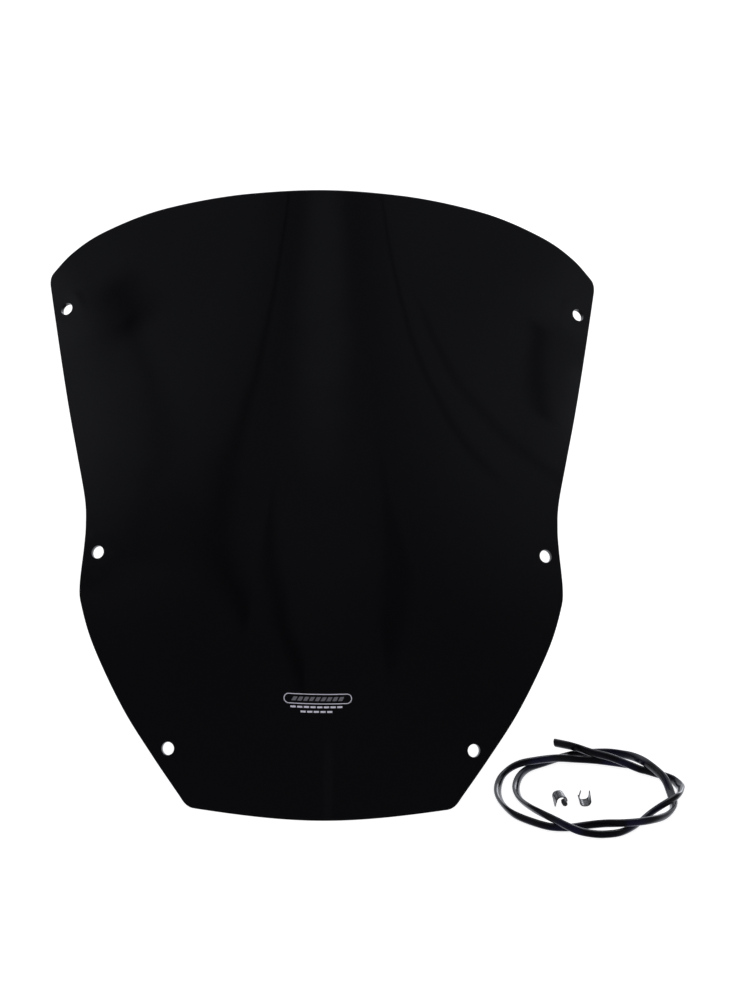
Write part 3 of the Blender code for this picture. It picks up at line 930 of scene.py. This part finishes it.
# ---- Clips -----------------------------------------------------------------------------------
def clip_stations():
    """The strip from tip to tip: outer side's middle (x, z), half breadth, twist and ribbing."""
    radius = CLIP_WIDTH / 2
    leg = CLIP_HEIGHT - radius
    legs = []
    for table, side in ((CLIP_LEAF_LEG, 1), (CLIP_PLAIN_LEG, -1)):
        known_part, known_half, known_twist = np.array(table).T
        parts = np.linspace(0.0, 1.0, round(leg / CLIP_STEP))[1:]
        tip = np.clip((1.0 - parts) / CLIP_TIP, 0.0, 1.0)
        rounded = CLIP_TIP_LEFT + (1 - CLIP_TIP_LEFT) * np.sqrt(tip * (2 - tip))
        halves = smooth_values(parts, known_part, known_half) * rounded
        twists = np.radians(smooth_values(parts, known_part, known_twist))
        across = side * (radius - parts * CLIP_TOE_IN)
        legs.append(np.column_stack([across, leg - parts * leg, halves, twists, 0 * parts]))
    turns = np.linspace(0.0, math.pi, CLIP_ARCH_POINTS)
    power = 2 / CLIP_SQUARENESS
    arch = np.column_stack([
        radius * np.sign(np.cos(turns)) * np.abs(np.cos(turns)) ** power,
        leg + radius * np.abs(np.sin(turns)) ** power,
    ])
    arch = even_spacing(arch, CLIP_STEP)
    run = run_lengths(arch)
    ribbed = np.sqrt(np.sin(np.clip(run / run[-1], 0, 1) * math.pi).clip(0))
    ribbed *= 0.5 + 0.5 * np.cos(math.tau * run / CLIP_RIB_PITCH)
    arch = np.column_stack([arch, np.full_like(run, CLIP_LENGTH / 2), 0 * run, ribbed])
    return np.vstack([legs[0][::-1], arch, legs[1]])


def smooth_values(at, known_at, known):
    """Values between the known ones, with a smooth run through each."""
    slope = np.gradient(known, known_at)
    i = np.clip(np.searchsorted(known_at, at) - 1, 0, len(known) - 2)
    span = known_at[i + 1] - known_at[i]
    t = (at - known_at[i]) / span
    a = (2 * t**3 - 3 * t**2 + 1) * known[i] + (t**3 - 2 * t**2 + t) * span * slope[i]
    return a + (3 * t**2 - 2 * t**3) * known[i + 1] + (t**3 - t**2) * span * slope[i + 1]


def make_clip(name, finish):
    """A thin rounded section run along the strip, then set down where the CAD clip lies."""
    body, (x, y), turn, on_its_legs = CLIPS[name]
    half_sheet = CLIP_SHEET / 2
    r = CLIP_EDGE_ROUND
    quarter = np.linspace(0, math.pi / 2, CLIP_CORNER_POINTS)
    corner = [(math.sin(a), math.cos(a)) for a in quarter]
    breadths = np.linspace(-1, 1, CLIP_BREADTH_POINTS)
    stations = clip_stations()
    ahead = unit(np.gradient(stations[:, :2], axis=0))
    rings = []
    for (px, pz, half, twist, rib), (ax, az) in zip(stations, ahead):
        cos, sin = math.cos(twist), math.sin(twist)
        outward = np.array((cos * az, sin, -cos * ax))
        across = np.array((-sin * az, cos, sin * ax))
        middle = np.array((px, 0.0, pz)) - half_sheet * outward
        ring = [(side * (half - r), half_sheet + rib * CLIP_RIB) for side in breadths]
        ring += [(half - r + r * s, half_sheet - r + r * c) for s, c in corner[1:]]
        ring += [(half - r + r * c, -half_sheet + r - r * s) for s, c in corner]
        ring += [(side * (half - r), -half_sheet) for side in breadths[::-1][1:]]
        ring += [(-half + r - r * s, -half_sheet + r - r * c) for s, c in corner[1:]]
        ring += [(-half + r - r * c, half_sheet - r + r * s) for s, c in corner[:-1]]
        rings.append([middle + a * across + out * outward for a, out in ring])
    rings = np.array(rings)
    numbers = np.arange(rings.shape[0] * rings.shape[1]).reshape(rings.shape[:2]).tolist()
    faces = []
    for a, b in zip(numbers, numbers[1:]):
        faces += band_faces(a, b, True)
    faces += [tuple(reversed(numbers[0])), tuple(numbers[-1])]
    clip = mesh_piece(name + "_strip", rings.reshape(-1, 3), faces, finish)
    clip.data.set_sharp_from_angle(angle=CLIP_SHARP)
    if not on_its_legs:
        clip.data.transform(Matrix.Rotation(math.pi, 4, "Y"))
    lowest = min(vertex.co.z for vertex in clip.data.vertices)
    place = Matrix.Translation((x, y, 0.0)) @ Matrix.Rotation(math.radians(turn), 4, "Z")
    clip.data.transform(place @ Matrix.Translation((0, 0, -lowest)))
    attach(clip, body)
    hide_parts(name)


# ---- The scene -------------------------------------------------------------------------------
place_camera()
make_trim(trim_vinyl())
make_screen(black_acrylic())
make_print(ink("pale_ink", *PALE_INK_COLOURS), ink("grey_ink", *GREY_INK_COLOURS))
steel = spring_steel()
for clip_name in CLIPS:
    make_clip(clip_name, steel)
light_world()
lay_floor()
set_view()
